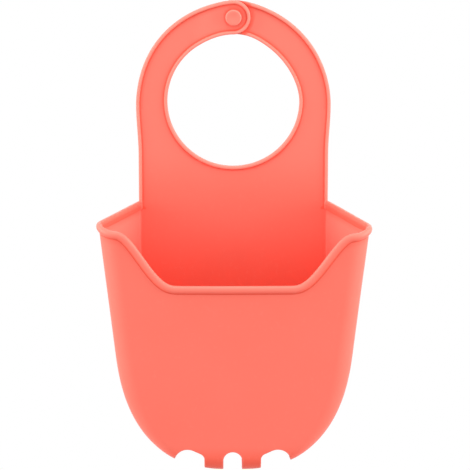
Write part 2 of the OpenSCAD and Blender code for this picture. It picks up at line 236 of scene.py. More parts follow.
def inset(sink):
    """The left edge moved inwards by a distance along its own normal."""
    return left_edge + edge_in * np.broadcast_to(sink, len(left_edge))[:, None]


edge_w, edge_h, edge_top_r, cove_r, tail_z = 1.8, 1.1, 0.75, 0.35, -56.2
# Painted light: a painted shade line beside the raised edges, a painted highlight on the loop, and painted
# shade deeper inside the tub.
contact_painted_shade, contact_w, contact_fade, loop_painted_light = -0.8, 0.75, 1.4, 0.24
loop_rise, inside_painted_shade, inside_z, inside_rise = 26, -0.5, -62, 42
by_edge_at, mid_cols, far_away, sink_from = [0, 1.65, 2.0, 2.5, 3.2], 14, 9, 1.2


def painted_light_by_height(z):
    """Painted light by height: a painted highlight makes the loop a little paler, and
    painted shade makes the inside of the tub deeper down to its floor."""
    return loop_painted_light * step((z - neck_low) / loop_rise) + inside_painted_shade * step((inside_z - z) / inside_rise)


def back_sheet():
    """Rows of constant height, x = gap + (reach - gap) s, where gap is the half chord of
    the hole and reach the inset edge; both faces, mirrored, and a wall all round. Its
    front has painted shade in a narrow line beside the raised edges, and the painted light by height."""
    below_rim = step(wall_top + sink_from - left_edge[:, 1])
    rim = inset(edge_sink + (corner_sink - edge_sink) * below_rim)
    z, reach = rim[:, 1], np.maximum(-rim[:, 0], 0.3)
    gap = np.sqrt(np.maximum(hole_low ** 2 - z ** 2, 0)) * (z > -hole_low + 1e-3)
    span = (reach - gap)[:, None]
    by_edge = np.array(by_edge_at) * np.minimum(1, span / 10)
    inner_span = span - 2 * by_edge[:, -1:]
    between = gap[:, None] + by_edge[:, -1:] + inner_span * np.linspace(0, 1, mid_cols)[1:-1]
    x = np.concatenate([gap[:, None] + by_edge, between, reach[:, None] - by_edge[:, ::-1]], 1)
    rows, cols = x.shape
    zz = np.broadcast_to(z[:, None], x.shape)
    layers = [np.stack([side * x, np.full(x.shape, y), zz], -1).reshape(-1, 3)
              for side in (-1, 1) for y in (-web_t, 0.0)]
    from_rib = np.where(zz > tail_z, reach[:, None] + edge_sink - x, far_away)
    from_rib = np.minimum(from_rib, np.hypot(x, zz) - hole_r) - edge_w - cove_r
    line = contact_painted_shade * np.clip(1 - from_rib / contact_w, 0, 1) ** contact_fade
    front_tone = line + (1 + line) * painted_light_by_height(zz)
    n = rows * cols
    faces = [f for k in range(4) for f in lattice(rows, cols, k * n)]
    hole_rows = int(np.argmax(gap <= 0))
    for k in (0, 2):
        front, back = k * n, (k + 1) * n
        r = np.arange(rows - 1)
        for c, last in ((cols - 1, rows - 1), (0, hole_rows)):
            a = r[:last] * cols + c
            faces += np.stack([front + a, front + a + cols, back + a + cols, back + a], 1).tolist()
        for row in (0, rows - 1):
            a = row * cols + np.arange(cols - 1)
            faces += np.stack([front + a, front + a + 1, back + a + 1, back + a], 1).tolist()
    return moulding("back_sheet", np.concatenate(layers), faces, [front_tone, 0 * x] * 2)


sheet = back_sheet()
sheet.data.materials.append(matt_silicone)
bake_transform(sheet)
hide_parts("back_panel", "neck_strip", "loop_base")

# Outer raised edge. The rounded rib along both sides of the strap, 1.1 mm proud, with a
# round tail just inside the tub's mouth; below it is the plain back corner of the tub.
# Its tone goes round its section from the back corner: a painted highlight over the crest and painted shade
# in the deep cove.
back_r, tub_back_r = 0.45, 1.2
front_w, front_low_w = 133.0, 118.8
front_d, low_d, front_bulge, foot_r, corner_r = 67.2, 63.0, 1.8, 8.0, 10.0
lean_run, tip_share, tail_run, tail_w, tail_fold, tail_drop = 3.0, 0.25, 1.0, 0.4, 0.15, 0.06
under_side, under_back, least_foot = 0.3, 0.25, 0.4
web_sink, web_deep, back_deep = 0.12, 0.14, 0.05
rib_painted_light = np.concatenate([np.zeros(6), np.linspace(0.2, 1, 7), [1, 0.95, 0.8, 0.5, 0.1, -0.3, -0.6],
                           [-0.9, -1, -1, -0.9, contact_painted_shade]])


def bow(cx, cy, r, start_deg, end_deg, n):
    """Points of an arc in a section plane: centre plus r times (cos, sin)."""
    a = np.radians(np.linspace(start_deg, end_deg, n))
    return np.stack([cx + r * np.cos(a), cy + r * np.sin(a)], -1)


def edge_rib():
    """Section of a raised edge as (distance from the edge, height over the back face):
    back corner, side, two quarter rounds on top, and a cove down onto the web."""
    top = web_t + edge_h
    return np.concatenate([
        bow(back_r, back_r, back_r, 270, 180, 6),
        bow(edge_top_r, top - edge_top_r, edge_top_r, 180, 90, 7),
        bow(edge_w - edge_top_r, top - edge_top_r, edge_top_r, 90, 0, 7),
        bow(edge_w + cove_r, web_t + cove_r, cove_r, 180, 270, 5)])


def front_half(z, f):
    """Half width over the front corners: it narrows evenly down to curve_z, times f."""
    return (front_w - (front_w - front_low_w) * (wall_top - z) / (wall_top - curve_z)) / 2 * f


def front_depth(z):
    """Depth of the front corners' flat line, less the round between front and floor."""
    s = np.clip((foot_z + foot_r - z) / foot_r, 0, 1)
    return (front_d - front_bulge - (front_d - low_d) * (wall_top - z) / (wall_top - foot_z)
            - foot_r * (1 - np.sqrt(1 - s * s)))


def wall_lean(z, f):
    """Angle by which a side wall opens towards the front, with its corner radius, the
    corner centre's x and its distance in front of the back sheet."""
    r = np.minimum(corner_r, 0.5 * front_half(z, f))
    cx = front_half(z, f) - r
    run = front_depth(z) - r - web_t
    side = cx - strap_hw * f
    return np.arctan2(side, run) + np.arcsin(r / np.hypot(side, run)), r, cx, run


def swept(name, stations, tone=None, closed_path=False):
    """Carries closed sections along a path: stations is an array of sections by points
    by xyz, joined into a tube whose two ends are closed with one face each, or joined to
    each other on a closed path."""
    rows, cols = stations.shape[:2]
    faces = lattice(rows, cols, closed=True)
    if closed_path:
        faces += [[(rows - 1) * cols + c, (rows - 1) * cols + (c + 1) % cols, (c + 1) % cols, c]
                  for c in range(cols)]
    else:
        faces += [list(range(cols)), list(range((rows - 1) * cols, rows * cols))[::-1]]
    tone = None if tone is None else np.broadcast_to(tone, (rows, cols))
    return moulding(name, stations.reshape(-1, 3), faces, tone)


def outer_edge():
    """The rib's section with the tub's back corner: heights over the web are scaled by
    the rib's share, which falls like a quarter circle at the tail, and the outer side
    leans with the tub's wall below it. Three points close it inside the web."""
    rib = edge_rib()
    z = left_edge[:, 1]
    share = np.sqrt(np.clip(1 - np.clip((tail_z + tail_run - z) / tail_run, 0, 1) ** 2, 0, 1))
    f = np.clip(-left_edge[:, 0] / strap_hw, 0, 1) * (z < rim_z) + (z >= rim_z)
    lean = wall_lean(np.minimum(z, wall_top), np.maximum(f, 1e-3))[0] * step((rim_z - z) / lean_run)
    lean = np.where(f < tip_share, lean * f / tip_share, lean)
    r = back_r + (tub_back_r - back_r) * step((rim_z - z) / lean_run)
    turn = np.linspace(0, 1, 6)[None]
    a = np.pi / 2 + (lean[:, None] - np.pi / 2) * turn
    foot = (r + (web_t - r) * np.sin(lean)) / np.cos(lean)
    corner = np.stack([foot[:, None] - r[:, None] * np.cos(a), r[:, None] - r[:, None] * np.sin(a)], -1)
    over = rib[6:][None].repeat(len(z), 0)
    width = tail_w + (1 - tail_w) * share[:, None]
    over_d = np.where(over[..., 0] > edge_w / 2, over[..., 0] * width + tail_fold * (1 - width), over[..., 0])
    over_h = np.where(over[..., 1] > web_t, web_t + (over[..., 1] - web_t) * share[:, None], over[..., 1])
    over_h = over_h - tail_drop * (1 - share[:, None])
    under_d, under_foot = over_d[:, -1] + under_side, np.maximum(foot, least_foot) + under_back
    buried = np.stack([np.stack([under_d, over_h[:, -1] - web_sink], -1),
                       np.stack([under_d, np.full(len(z), web_deep)], -1),
                       np.stack([under_foot, np.full(len(z), back_deep)], -1)], 1)
    section = np.concatenate([corner, np.stack([over_d, over_h], -1), buried], 1)
    flat = left_edge[:, None] + edge_in[:, None] * section[..., :1]
    half = np.stack([flat[..., 0], -section[..., 1], flat[..., 1]], -1)
    half[..., 0] = np.minimum(half[..., 0], 0)
    # Painted highlight over the crest and painted shade in the cove and the buried foot, fading with the
    # tail.
    tone = np.concatenate([np.zeros(6), rib_painted_light[6:], np.full(3, contact_painted_shade)]) * share[:, None]
    return swept("outer_raised_edge", np.concatenate([half, (half * [-1, 1, 1])[-2::-1]]),
                 np.concatenate([tone, tone[-2::-1]]))


outer_rib = outer_edge()
outer_rib.data.materials.append(matt_silicone)
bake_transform(outer_rib)

# Hole's raised edge, lower part. The same rib round the tap hole, from one arm's root
# under the hole to the other's. Its ends stand level, so that the arms carry it on.
root_deg = np.degrees(np.arcsin(-cut_z / hole_r))
level_run = 30


def level_turn(deg):
    """Direction of a section across the loop: radial, but level at the arms' roots."""
    return deg + root_deg * (1 - step(np.abs(deg + root_deg) / level_run))


def hole_edge():
    """The rib's section carried round the hole's lower arc, away from the hole. Three
    more points close it inside the web."""
    deg = np.linspace(-root_deg, -90, 70)
    rib = edge_rib()
    under_d = edge_w + cove_r + under_side
    rib = np.concatenate([rib, [[under_d, web_t - web_sink], [under_d, web_deep],
                                [back_r + under_back, back_deep]]])
    a, b = np.radians(deg)[:, None], np.radians(level_turn(deg))[:, None]
    d = rib[None, :, 0] / np.cos(a - b)
    half = np.stack([-(hole_r * np.cos(a) + d * np.cos(b)), -np.broadcast_to(rib[:, 1], d.shape),
                     hole_r * np.sin(a) + d * np.sin(b)], -1)
    half[-1, :, 0] = 0
    # The rib's painted highlight and painted shade go round the hole with it.
    return swept("hole_raised_edge", np.concatenate([half, (half * [-1, 1, 1])[-2::-1]]),
                 np.concatenate([rib_painted_light, np.full(3, contact_painted_shade)]))


hole_rib = hole_edge()
hole_rib.data.materials.append(matt_silicone)
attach(hole_rib, "loop")

# Tub. The side walls, front wall and round floor are one skin that opens towards its
# front, 1.6 mm thick and thinner by the back sheet, with a scoop in its front edge. It
# is drawn round the rim and down to the floor's middle line.
wall_t = 1.6
scoop_h, scoop_flat_w, corner_fall, scoop_bias = 29.9, 57.0, 2.5, 0.69
corner_share, level_share, inner_keep = 0.78, 0.25, 0.12
scoop_start = front_w / 2 - corner_r * corner_share
level_z = wall_top - scoop_h - (wall_top - scoop_h - curve_z) * level_share
side_n, corner_n, slope_n, front_n, slope_share = 10, 14, 40, 54, 0.49
rim_rows, upper_rows, bowl_rows = 10, 8, 90
sag_h, sag_x, sag_run, sag_depth = 1.5, 20, 45, 55
back_share, share_rise, tongue_l, tongue_sink = 0.55, 0.45, 0.5, 0.08
# Painted shade under the floor and along the outer rim under the bead, and a painted highlight on the inner
# walls by the rim.
foot_painted_shade, foot_tone_h, foot_tone_run, rim_painted_shade = -0.8, 15, 11, -0.4
wall_painted_light, wall_pale_z, wall_pale_run = 0.5, -58, 40


def columns(v, a, b):
    """The columns a to b of values that differ by column, or the one that serves all."""
    return v if v.shape[-1] == 1 else v[..., a:b]


def around(z, f):
    """Left half of the tub's outside, row by row: along the side, round the corner of
    radius r, and along the front, which bulges like 1 - s^2."""
    lean, r, cx, run = (v[..., None] if v.ndim < 2 else v for v in wall_lean(z, f))
    z, f = (v[..., None] if v.ndim < 2 else v for v in (z, f))
    hb = strap_hw * f
    parts, at = [], 0
    for place, n in (("side", side_n + 1), ("corner", corner_n), ("front", front_n)):
        zz, ff, l, rr, c, q, h = (columns(v, at, at + n) for v in (z, f, lean, r, cx, run, hb))
        if place == "side":
            shares = np.linspace(0, 1, n)
            x = -(h + (c + rr * np.cos(l) - h) * shares)
            y = -(web_t + (q - rr * np.sin(l)) * shares)
        elif place == "corner":
            a = l - (np.pi / 2 + l) * np.linspace(0, 1, n + 1)[1:]
            x, y = -(c + rr * np.cos(a)), -(web_t + q) + rr * np.sin(a)
        else:
            k = np.arange(1, n + 1)
            shares = np.where(k <= slope_n, 1 - slope_share * k / slope_n,
                              (1 - slope_share) * (n - k) / (n - slope_n))
            x = -c * shares
            y = -(front_depth(zz) + front_bulge * ff * (1 - shares ** 2))
        x, y, zz = np.broadcast_arrays(x, y, zz)
        parts.append(np.stack([x, y, zz], -1))
        at += n
    return np.concatenate(parts, -2)


def eased(t):
    """Quintic step u^3 (u (6u - 15) + 10)."""
    t = np.clip(t, 0, 1)
    return t ** 3 * (t * (6 * t - 15) + 10)


def tub_rows():
    """Outer points of the whole tub. Rows above the level row spread from it to the
    dropping rim; below, height and share follow the same superellipse as the edge."""
    top = around(np.array([wall_top]), np.array([1.0]))[0]
    i = np.arange(len(top))
    t = np.maximum(0, (scoop_start - np.abs(top[:, 0])) / (scoop_start - scoop_flat_w / 2)) ** scoop_bias
    drop = np.where(i <= side_n, 0, corner_fall * eased((i - side_n) / corner_n)
                    + (scoop_h - corner_fall) * eased(t))
    share = np.linspace(0, 1, rim_rows + 1)[:-1, None]
    z = (wall_top - drop) + (level_z - wall_top + drop) * share
    rim_part = around(z, np.ones_like(z))
    a = np.radians(np.linspace(0, 90, bowl_rows + 1)[1:])
    zz = np.concatenate([np.linspace(level_z, curve_z, upper_rows + 1),
                         curve_z - bowl_h * np.sin(a) ** bowl_p])
    ff = np.concatenate([np.ones(upper_rows + 1), np.maximum(np.cos(a), 0) ** bowl_p])
    ff[-1] = 1e-6
    left = np.concatenate([rim_part, around(zz, ff)])
    return np.concatenate([left, (left * [-1, 1, 1])[:, -2::-1]], 1)


def unit(v):
    """Vectors of length one."""
    return v / np.maximum(np.linalg.norm(v, axis=-1, keepdims=True), 1e-12)


tub_out = tub_rows()
along = np.gradient(tub_out, axis=1)
down = np.gradient(tub_out, axis=0)
tub_inward = unit(np.cross(along, down))
tub_inward[-1] = 0, 0, 1
wall_share = np.minimum(1, back_share + share_rise * np.arange(tub_out.shape[1]) / side_n)
wall_share = np.minimum(wall_share, wall_share[::-1])[None, :, None]
tub_in = tub_out + wall_t * wall_share * tub_inward
middle = side_n + corner_n + front_n
tub_in[:, :middle + 1, 0] = np.minimum(tub_in[:, :middle + 1, 0], inner_keep * tub_out[:, :middle + 1, 0])
tub_in[:, side_n:middle + 1, 0] = np.maximum.accumulate(tub_in[:, side_n:middle + 1, 0], axis=1)
tub_in[:, :middle + 1, 1] = np.minimum.accumulate(tub_in[:, :middle + 1, 1], axis=1)
tub_in[:, middle:] = (tub_in[:, :middle + 1] * [-1, 1, 1])[:, ::-1]
for col in (0, -1):
    run_in = along[:-1, col]
    tub_in[:-1, col] += run_in * ((-web_t - tub_in[:-1, col, 1]) / run_in[:, 1])[:, None]
    tub_in[-1, col, 1] = -web_t


def sag(points):
    """How much lower the soft rim hangs: sag_h at the right front corner, less by smooth
    steps towards the middle and down to level_z, and evenly less towards the back."""
    x, y, z = np.moveaxis(points, -1, 0)
    by_side, by_depth = step((x - sag_x) / sag_run), np.clip((-web_t - y) / sag_depth, 0, 1)
    return sag_h * by_side * by_depth * step((z - level_z) / (wall_top - level_z))


tub_out[..., 2] -= sag(tub_out)
tub_in[..., 2] -= sag(tub_in)


def tub():
    """Outer and inner grids, each with a short hidden tongue into the back sheet, joined
    along the rim and along the two back edges, which meet at the floor's middle. It has
    painted shade outside under the floor, along the outer rim and inside towards the floor, and a painted
    highlight inside by the rim."""
    def tongue(grid, back, sink):
        ends = []
        for col, nxt in ((0, 1), (-1, -2)):
            way = unit(grid[:, col] - grid[:, nxt])
            ends.append(grid[:, col] + way * back + tub_inward[:, col] * sink)
        return np.concatenate([ends[0][:, None], grid, ends[1][:, None]], 1)
    out, inn = tongue(tub_out, tongue_l, tongue_sink), tongue(tub_in, tongue_l, -tongue_sink)
    rows, cols = out.shape[:2]
    n = rows * cols
    faces = lattice(rows, cols) + lattice(rows, cols, n)
    c = np.arange(cols - 1)
    faces += np.stack([c, c + 1, n + c + 1, n + c], 1).tolist()
    for k in (0, cols - 1):
        a = np.arange(rows - 1) * cols + k
        faces += np.stack([a, a + cols, n + a + cols, n + a], 1).tolist()
    # Painted shade and painted highlight, as set above.
    tone = np.zeros((2,) + out.shape[:2])
    tone[0] = foot_painted_shade * step((foot_z + foot_tone_h - out[..., 2]) / foot_tone_run)
    tone[0, 0] = rim_painted_shade
    z = inn[1:, :, 2]
    tone[1, 1:] = painted_light_by_height(z) + wall_painted_light * (1 - step((wall_pale_z - z) / wall_pale_run))
    points = np.concatenate([out.reshape(-1, 3), inn.reshape(-1, 3)])
    return moulding("tub_walls_and_floor", points, faces, tone)


tub_skin = tub()

# Drain slots. Three channels through the floor that run up into the front wall, the
# middle one with a round top and the outer ones with a sloping top. All three sit a
# little left of the middle. They are cut, and the next section rounds their edges.
mid_w, outer_w, rib_w = 9.4, 14.9, 9.5
outer_high, outer_fall, in_r, out_r, mid_high = 12.3, 2.0, 3.2, 6.6, 11.2
slot_back, slot_x, lip_sink = 10.0, -0.8, 0.4
cut_below, cut_past, arc_n = 6.0, 8, 16


def slot_outline(kind, grow=0.0):
    """Top outline of a slot from its inner foot over the top to its outer foot, as x and
    height over the floor, drawn outwards by a margin."""
    if kind == "mid":
        return bow(0, mid_high - mid_w / 2, mid_w / 2 + grow, 180, 0, 2 * arc_n)
    start = mid_w / 2 + rib_w
    inner = np.array([start + in_r, outer_high - outer_fall - in_r])
    outer = np.array([start + outer_w - out_r, outer_high - out_r])
    gap = outer - inner
    turn = np.degrees(np.arctan2(gap[1], gap[0]) + np.arccos((in_r - out_r) / np.hypot(*gap)))
    return np.concatenate([bow(*inner, in_r + grow, 180, turn, arc_n),
                           bow(*outer, out_r + grow, turn, 0, arc_n)])


def slot_cutter(kind, side):
    """The slot's outline carried along y from the floor's back end past the front."""
    top = slot_outline(kind, lip_sink) + [side * slot_x, 0]
    outline = np.concatenate([[[top[0, 0], -cut_below]], top, [[top[-1, 0], -cut_below]]])
    ring = [np.stack([side * outline[:, 0], np.full(len(outline), y), foot_z + outline[:, 1]], -1)
            for y in (-slot_back + lip_sink, -front_d - cut_past)]
    return swept("slot_cutter", np.stack(ring))


def carve(piece, cutters):
    """Cuts closed solids out of a piece, removes them, and gives it the silicone."""
    for cutter in cutters:
        cut = piece.modifiers.new("cut", "BOOLEAN")
        cut.operation, cut.solver, cut.object = "DIFFERENCE", "MANIFOLD", cutter
    graph = bpy.context.evaluated_depsgraph_get()
    mesh = bpy.data.meshes.new_from_object(piece.evaluated_get(graph))
    piece.modifiers.clear()
    old, piece.data = piece.data, mesh
    bpy.data.meshes.remove(old)
    mesh.name = piece.name
    for cutter in cutters:
        bpy.data.objects.remove(cutter)
    mesh.materials.clear()
    mesh.materials.append(matt_silicone)
    mesh.polygons.foreach_set("material_index", np.zeros(len(mesh.polygons), np.int32))
    mesh.shade_smooth()
    mesh.set_sharp_from_angle(angle=np.radians(sharp_deg))


carve(tub_skin, [slot_cutter("mid", 1), slot_cutter("outer", 1), slot_cutter("outer", -1)])
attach(tub_skin, "pouch")
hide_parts("left_side_wall", "right_side_wall", "front_wall", "drain_floor")

# Slot edges. The mould rounds the cut edges of the three slots, outside and inside; each
# is a thin rounded lip as thick as the wall, carried once round its slot.
lip_r, lip_w, lip_bury, lip_over, lip_skin = 0.36, 1.1, 0.15, 0.03, 0.004
turn_y, nick, over_turn, wall_step, slope_h = -54.5, 0.6, 0.4, 0.4, 0.02
halvings, bulge_part, sure_row = 44, 0.9, 18


def bowl_share(z):
    """Share of the full width that is left at a height in the bowl."""
    a = np.arcsin(np.clip((curve_z - z) / bowl_h, 0, 1) ** (1 / bowl_p))
    return np.maximum(np.cos(a), 1e-6) ** bowl_p


def front_y(x, z):
    """The front's y at a place: the bulged line between the corners, the corner's arc
    of radius r beyond it."""
    f = bowl_share(z)
    lean, r, cx, run = wall_lean(z, f)
    past = np.clip(np.abs(x) - cx, 0, r)
    line = front_depth(z) + front_bulge * f * (1 - np.clip(np.abs(x) / cx, 0, 1) ** 2)
    return -(line - r + np.sqrt(np.maximum(r ** 2 - past ** 2, 0)))


def floor_z(x, y):
    """The floor's height at a place: the range from the bottom to the bowl's start is
    halved until the half width at that depth, side line or corner arc, is |x|."""
    low, high = np.full(x.shape, curve_z - bowl_h), np.full(x.shape, curve_z)
    for _ in range(halvings):
        z = (low + high) / 2
        f = bowl_share(z)
        lean, r, cx, run = wall_lean(z, f)
        hb, depth = strap_hw * f, -y - web_t
        straight = hb + (cx + r * np.cos(lean) - hb) * depth / (run - r * np.sin(lean))
        arc = cx + np.sqrt(np.maximum(r ** 2 - (depth - run) ** 2, 0))
        line = np.clip(front_depth(z) + front_bulge * f * bulge_part, 0, None) > -y
        half = np.where(depth <= run - r * np.sin(lean), straight, arc) * line
        low, high = np.where(half < np.abs(x), z, low), np.where(half < np.abs(x), high, z)
    return (low + high) / 2


def slot_lip(name, kind, side):
    """The slot's outline on the skin: on the floor x and y give z, on the front x and z
    give y. The normal comes from the slopes of the skin, and the lip's section is carried
    along it with its width pointing away from the slot, as at the row sure_row, which
    lies beside the slot."""
    top = slot_outline(kind)[::-1] + [side * slot_x, 0]
    x_in, x_out = top[-1, 0], top[0, 0]
    run_y = np.concatenate([np.linspace(turn_y, -30, 22), np.linspace(-29, -slot_back - nick, 16)])
    across = np.linspace(x_in + nick, x_out - nick, 12)[1:-1]
    back = np.concatenate([bow(x_in + nick, -slot_back - nick, nick, 180, 90, 5),
                           np.stack([across, np.full(len(across), -slot_back)], 1),
                           bow(x_out - nick, -slot_back - nick, nick, 90, 0, 5)])
    straight = len(run_y) - 1
    plan = np.concatenate([np.stack([np.full(straight, x_in), run_y[:-1]], 1), back,
                           np.stack([np.full(straight, x_out), run_y[-2::-1]], 1)])
    z_turn = [float(floor_z(np.array([x]), np.array([turn_y]))[0]) for x in (x_out, x_in)]
    over = top + [0, foot_z]
    over = over[over[:, 1] > np.where(over[:, 0] > over[:, 0].mean(), *z_turn) + over_turn]
    up_out, up_in = (np.linspace(z, end, max(3, int((end - z) / wall_step)) + 1)[1:-1]
                     for z, end in zip(z_turn, (over[0, 1], over[-1, 1])))
    wall = np.concatenate([np.stack([np.full(len(up_out), x_out), up_out], 1), over,
                           np.stack([np.full(len(up_in), x_in), up_in[::-1]], 1)])
    h = slope_h
    fx, fy = plan.T
    floor_n = np.stack([(floor_z(fx + h, fy) - floor_z(fx - h, fy)) / (2 * h),
                        (floor_z(fx, fy + h) - floor_z(fx, fy - h)) / (2 * h), -np.ones(len(fx))], 1)
    wx, wz = wall.T
    wall_n = np.stack([(front_y(wx + h, wz) - front_y(wx - h, wz)) / (2 * h), -np.ones(len(wx)),
                       (front_y(wx, wz + h) - front_y(wx, wz - h)) / (2 * h)], 1)
    line = np.concatenate([np.stack([fx, fy, floor_z(fx, fy)], 1),
                           np.stack([wx, front_y(wx, wz), wz], 1)])
    normal = unit(np.concatenate([floor_n, wall_n]))
    around_slot = np.roll(line, -1, 0) - np.roll(line, 1, 0)
    away = unit(np.cross(around_slot, normal))
    away *= np.sign((away[sure_row] * (line[sure_row] - line.mean(0)))[0])
    foot = lip_sink + lip_over
    section = np.concatenate([[[lip_w, -lip_bury], [foot, -lip_skin]],
                              bow(lip_r, -lip_r, lip_r, 90, 180, 5),
                              bow(lip_r, lip_r - wall_t, lip_r, 180, 270, 5),
                              [[foot, lip_skin - wall_t], [lip_w, lip_bury - wall_t]]])
    tube = line[:, None] + away[:, None] * section[None, :, :1] + normal[:, None] * section[None, :, 1:]
    # Painted shade, deepening from the lip's outer round into the slot and over the wall's inner side.
    tone = np.interp(np.arange(len(section)), [2, 6], [0, -0.7])
    return swept(name, tube * [side, 1, 1], tone, closed_path=True)


for name, kind, side in (("middle_slot_lip", "mid", 1), ("right_slot_lip", "outer", 1),
                         ("left_slot_lip", "outer", -1)):
    lip = slot_lip(name, kind, side)
    lip.data.materials.append(matt_silicone)
    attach(lip, "pouch")

# Rim bead. The round bead that stiffens the rim, moulded on top of the side walls and
# down along the scoop. It hangs over the outside a little, and dies into the strap's
# edge at the back.
bead_h, bead_out, bead_in = 3.8, 1.3, 0.15
end_run, end_pivot, end_h, end_low, end_fall = 1.55, 0.2, 1.2, 0.45, 0.55
# Painted highlight over the bead's upper round and painted shade under it and on its inner side.
bead_deg = [-58, -45, -15, 30, 65, 90, 110, 165, 205]
bead_painted_light = [-0.8, -0.2, 0.1, 0.3, 0.4, 0.3, 0, -0.25, -0.5]


def rim_bead():
    """An ellipse over a neck that coves into the wall, carried along the wall's top:
    outwards is the wall's normal, and up is square to the rim and to it. Each end runs
    into the strap's edge and shrinks like a quarter circle."""
    line, inner = tub_out[0], tub_in[0]
    out_dir = unit(line - inner)
    up = unit(np.cross(heading(line), -out_dir))
    up[0] = up[-1] = 0, 0, 1
    rx, ry = (wall_t + bead_in + bead_out) / 2, bead_h / 2
    a = np.radians(np.linspace(bead_deg[-1], bead_deg[0], 28))
    round_top = np.stack([rx * np.cos(a) + rx - wall_t - bead_in, ry * (1 + np.sin(a))], -1)
    end = round_top[-1]
    neck = [[end[0] * 0.45, end[1] - 0.28], [0.06, end[1] - 0.62], [-0.02, end[1] - 1.0], [-0.5, -0.9]]
    root = [[-wall_t + 0.8, -0.9], [-wall_t + 0.1, -0.6], [-wall_t - 0.05, 0.2]]
    section = np.concatenate([root, round_top, neck])
    # Painted shade in the root and neck coves of the bead.
    tone = np.concatenate([[-0.6, -0.85, -0.6], np.interp(np.degrees(a), bead_deg, bead_painted_light),
                           [-0.9, -1, -0.9, -0.6]])
    back = np.array([0.97, 0.85, 0.66, 0.42, 0.2])
    ends = []
    for k in (0, -1):
        p = line[k] + np.array([0, 1.0, 0]) * (end_run * back)[:, None]
        w = np.sqrt(1 - back ** 2)
        sec = section[None].repeat(len(back), 0)
        sec[..., 0] = np.where(sec[..., 0] > -end_pivot,
                               (sec[..., 0] + end_pivot) * w[:, None] - end_pivot, sec[..., 0])
        sec[..., 1] = end_h + (sec[..., 1] - end_h) * (end_low + end_fall * w[:, None])
        ring = p[:, None] + out_dir[k] * sec[..., :1] + up[k] * sec[..., 1:]
        ring[..., 1] = p[:, None, 1]
        ends.append(ring)
    body = line[:, None] + out_dir[:, None] * section[None, :, :1] + up[:, None] * section[None, :, 1:]
    body[[0, -1], :, 1] = -web_t
    return swept("rim_bead_round", np.concatenate([ends[0], body, ends[1][::-1]]), tone)


bead = rim_bead()
bead.data.materials.append(matt_silicone)
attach(bead, "pouch")
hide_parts("rim_bead")

# Inside corner. The soft fillet of the moulding where the tub's walls and floor grow
# out of the back sheet.
fillet_r, fillet_top_r, fillet_run, fillet_sink, fillet_edge = 1.4, 0.6, 30, 0.4, 0.1


def inside_corner():
    """A hollow quarter round between the wall's own direction w and the way n that
    points inwards over the sheet: p + r ((1 - sin t) w + (1 - cos t) n)."""
    path, nxt = tub_in[:, 0], tub_in[:, 1]
    w = unit(nxt - path)
    w[-3:] = 0, -1, 0
    flat = path[:, [0, 2]]
    t = heading(flat)
    t[-1] = 1, 0
    n = np.stack([-t[:, 1], np.zeros(len(t)), t[:, 0]], -1)
    q = np.radians(np.linspace(0, 90, 8))[None, :, None]
    grown = step((curve_z + fillet_run - path[:, 2]) / fillet_run)[:, None, None]
    r = fillet_top_r + (fillet_r - fillet_top_r) * grown
    hollow = path[:, None] + r * ((1 - np.sin(q)) * w[:, None] + (1 - np.cos(q)) * n[:, None])
    buried = path[:, None] - fillet_sink * w[:, None] - fillet_sink * n[:, None]
    start = hollow[:, :1] - fillet_edge * n[:, None]
    finish = hollow[:, -1:] - fillet_edge * w[:, None]
    half = np.concatenate([start, hollow, finish, buried], 1)
    half[..., 0] = np.minimum(half[..., 0], 0)
    # Painted shade by height, as inside the tub.
    tone = painted_light_by_height(path[:, 2:])
    return swept("inside_back_fillet", np.concatenate([half, (half * [-1, 1, 1])[-2::-1]]),
                 np.concatenate([tone, tone[-2::-1]]))


fillet = inside_corner()
fillet.data.materials.append(matt_silicone)
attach(fillet, "pouch")

# Arms. Each is one band of the loop, with the raised edge round both sides. They end in
# two lapped tabs over the hole: the left one steps forward and has the buttonhole, the
# right one is thin behind it and carries the knob.
snap_lift, top_lift, left_swell, right_swell = 0.8, 0.3, 0.45, 1.2
tab_r = (top_band + top_lift - snap_lift) / 2
snap_z = hole_r + snap_lift + tab_r
lap, back_tab_t, back_tab_r = 1.7, 1.4, tab_r + 0.3
lap_from, lap_to = -21.9, -10.4
lift_deg, lift_run, rise_deg, rise_run, left_deg, right_deg = 55, 35, 60, 30, 80, 78
band_rows, end_rows, disc_n = 100, 46, 128
stem_hole_r, knob_shade, knob_shade_r, knob_shade_w = 2.7, 0.9, 5.2, 1.4
tab_shade, tab_shade_w, in_front = -0.8, 2.2, 7


def outer_point(start, a, b):
    """Where a ray from the hole's edge at angle a, in direction b, leaves the loop: the
    range from 10 to 26 mm is halved until it fits the outline."""
    low, high = np.full(a.shape, 10.0), np.full(a.shape, 26.0)
    for _ in range(40):
        mid = (low + high) / 2
        x = start * np.cos(a) + mid * np.cos(b)
        z = start * np.sin(a) + mid * np.sin(b)
        inside = (np.abs(x) < half_width(z)) & (z < widest_z + arc_h)
        low, high = np.where(inside, mid, low), np.where(inside, high, mid)
    return (low + high) / 2


